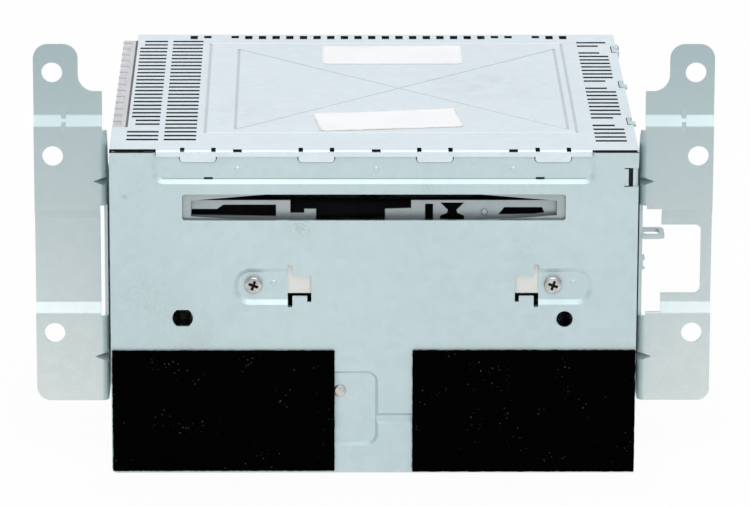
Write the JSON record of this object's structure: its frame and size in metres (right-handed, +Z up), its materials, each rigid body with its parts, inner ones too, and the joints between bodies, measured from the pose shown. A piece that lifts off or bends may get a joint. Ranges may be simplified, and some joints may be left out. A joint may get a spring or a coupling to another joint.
{
  "type": "car cd changer",
  "caption": "Bare six-disc in-dash CD changer: vented steel case with disc slot, felt pads, side heat sink, two dash brackets and the loading, lifting and playing mechanism inside.",
  "frame": {"origin": "middle of the whole object's footprint, at the underside of the case", "axes": "+X to the right as seen from the front, +Y from the disc slot to the rear, +Z up"},
  "size_m": [0.229, 0.1742, 0.1483],
  "materials": {
    "steel": "galvanised, satin",
    "cover_steel": "galvanised, satin",
    "bracket_steel": "galvanised, satin",
    "aluminium": "extruded, mill finish",
    "felt": "short-pile felt",
    "nickel": "nickel plate, satin",
    "black_plastic": "moulded",
    "grey_plastic": "moulded",
    "white_plastic": "moulded acetal",
    "rubber": "soft",
    "brass": "turned",
    "board": "circuit board",
    "lens": "moulded lens"
  },
  "bodies": {
    "case": {"front_panel": "steel", "top_cover": "cover_steel", "chassis_shell": "steel", "rear_panel": "steel", "heat_sink": "aluminium", "left_bracket": "bracket_steel", "right_bracket": "bracket_steel", "harness_clip": "bracket_steel", "felt_pad_left": "felt", "felt_pad_right": "felt", "front_screws": "nickel", "case_screws": "nickel", "locating_pin": "nickel", "harness_connector": "white_plastic", "side_connector": "black_plastic", "aerial_socket": "nickel", "slot_guide_plate": "steel", "mech_frame": "steel", "mech_top_plate": "steel", "disc_guide": "black_plastic", "mech_posts": "nickel", "mech_dampers": "rubber", "mech_screws": "nickel", "roller_bushes": "white_plastic", "loading_motor": "nickel", "lift_motor": "nickel", "swing_motor": "nickel", "main_board": "board", "board_screws": "nickel", "board_capacitors": "black_plastic", "amplifier_chip": "black_plastic", "board_chips": "black_plastic"},
    "shutter": {"shutter_plate": "steel"},
    "roller": {"loading_roller": "rubber", "roller_shaft": "nickel", "roller_gear": "white_plastic"},
    "loading_idler": {"loading_idler_gear": "white_plastic"},
    "loading_drive": {"loading_motor_gear": "brass"},
    "disc_stack": {"disc_tray_1": "grey_plastic", "disc_tray_2": "grey_plastic", "disc_tray_3": "grey_plastic", "disc_tray_4": "grey_plastic", "disc_tray_5": "grey_plastic", "disc_tray_6": "grey_plastic"},
    "left_lift_screw": {"lift_screw_left": "black_plastic"},
    "right_lift_screw": {"lift_screw_right": "black_plastic"},
    "rear_lift_screw": {"lift_screw_rear": "black_plastic"},
    "lift_ring": {"lift_ring_gear": "white_plastic"},
    "lift_drive": {"lift_pinion": "brass"},
    "play_unit": {"play_arm": "bracket_steel", "guide_rods": "nickel", "spindle_motor": "nickel", "feed_motor": "nickel"},
    "swing_drive": {"swing_pinion": "white_plastic"},
    "turntable": {"turntable": "black_plastic"},
    "pickup": {"pickup_sled": "black_plastic", "pickup_lens": "lens"},
    "feed_drive": {"feed_gear": "white_plastic"},
    "clamp_arm": {"clamp_arm": "bracket_steel"},
    "clamper": {"clamper": "black_plastic"}
  },
  "joints": [
    {"name": "shutter_slide", "type": "slide", "parent": "case", "child": "shutter", "axis": [0, 0, -1], "range_m": [0, 0.009], "stiffness_N_per_m": 40, "springref_m": -0.008},
    {"name": "roller_spin", "type": "hinge", "parent": "case", "child": "roller", "pos_m": [0, -0.0689, 0.08905], "axis": [1, 0, 0], "continuous": true},
    {"name": "loading_idler_spin", "type": "hinge", "parent": "case", "child": "loading_idler", "pos_m": [0, -0.05862, 0.07679], "axis": [1, 0, 0], "continuous": true},
    {"name": "loading_drive_spin", "type": "hinge", "parent": "case", "child": "loading_drive", "pos_m": [0, -0.05862, 0.06239], "axis": [1, 0, 0], "continuous": true},
    {"name": "stack_lift", "type": "slide", "parent": "case", "child": "disc_stack", "axis": [0, 0, 1], "range_m": [0, 0.014]},
    {"name": "left_screw_turn", "type": "hinge", "parent": "case", "child": "left_lift_screw", "pos_m": [-0.06598, -0.03273, 0.036], "axis": [0, 0, 1], "range_deg": [-1, 631]},
    {"name": "right_screw_turn", "type": "hinge", "parent": "case", "child": "right_lift_screw", "pos_m": [0.06598, -0.03273, 0.036], "axis": [0, 0, 1], "range_deg": [-1, 631]},
    {"name": "rear_screw_turn", "type": "hinge", "parent": "case", "child": "rear_lift_screw", "pos_m": [0, 0.0681, 0.036], "axis": [0, 0, 1], "range_deg": [-1, 631]},
    {"name": "lift_ring_turn", "type": "hinge", "parent": "case", "child": "lift_ring", "pos_m": [0, -0.0039, 0.036], "axis": [0, 0, 1], "range_deg": [-59, 1]},
    {"name": "lift_drive_turn", "type": "hinge", "parent": "case", "child": "lift_drive", "pos_m": [0.0338, -0.06747, 0.036], "axis": [0, 0, 1], "range_deg": [-1, 631]},
    {"name": "play_unit_swing", "type": "hinge", "parent": "case", "child": "play_unit", "pos_m": [0.06, 0.0581, 0.036], "axis": [0, 0, 1], "range_deg": [-25, 0]},
    {"name": "swing_drive_turn", "type": "hinge", "parent": "case", "child": "swing_drive", "pos_m": [0.04, 0.0581, 0.036], "axis": [0, 0, 1], "range_deg": [-1, 60]},
    {"name": "turntable_spin", "type": "hinge", "parent": "play_unit", "child": "turntable", "pos_m": [0.03182, -0.02345, 0.058], "axis": [0, 0, 1], "continuous": true},
    {"name": "pickup_feed", "type": "slide", "parent": "play_unit", "child": "pickup", "axis": [-0.3266, -0.9452, 0], "range_m": [-0.015, 0.016]},
    {"name": "feed_drive_turn", "type": "hinge", "parent": "play_unit", "child": "feed_drive", "pos_m": [0.02201, 0.02226, 0.05], "axis": [0, 0, 1], "range_deg": [-165, 155]},
    {"name": "clamp_lift", "type": "hinge", "parent": "play_unit", "child": "clamp_arm", "pos_m": [0.05608, 0.04676, 0.0698], "axis": [-0.9452, 0.3266, 0], "range_deg": [0, 4]},
    {"name": "clamper_spin", "type": "hinge", "parent": "clamp_arm", "child": "clamper", "pos_m": [0.03182, -0.02345, 0.069], "axis": [0, 0, 1], "continuous": true}
  ],
  "couplings": [
    {"joint": "loading_idler_spin", "follows": "roller_spin", "ratio": -0.66667},
    {"joint": "loading_drive_spin", "follows": "roller_spin", "ratio": 1.3333},
    {"joint": "left_screw_turn", "follows": "stack_lift", "rad_per_m": 785.4},
    {"joint": "right_screw_turn", "follows": "stack_lift", "rad_per_m": 785.4},
    {"joint": "rear_screw_turn", "follows": "stack_lift", "rad_per_m": 785.4},
    {"joint": "lift_ring_turn", "follows": "stack_lift", "rad_per_m": -71.4},
    {"joint": "lift_drive_turn", "follows": "stack_lift", "rad_per_m": 785.4},
    {"joint": "swing_drive_turn", "follows": "play_unit_swing", "ratio": -2.3333},
    {"joint": "feed_drive_turn", "follows": "pickup_feed", "rad_per_m": -178.57}
  ]
}
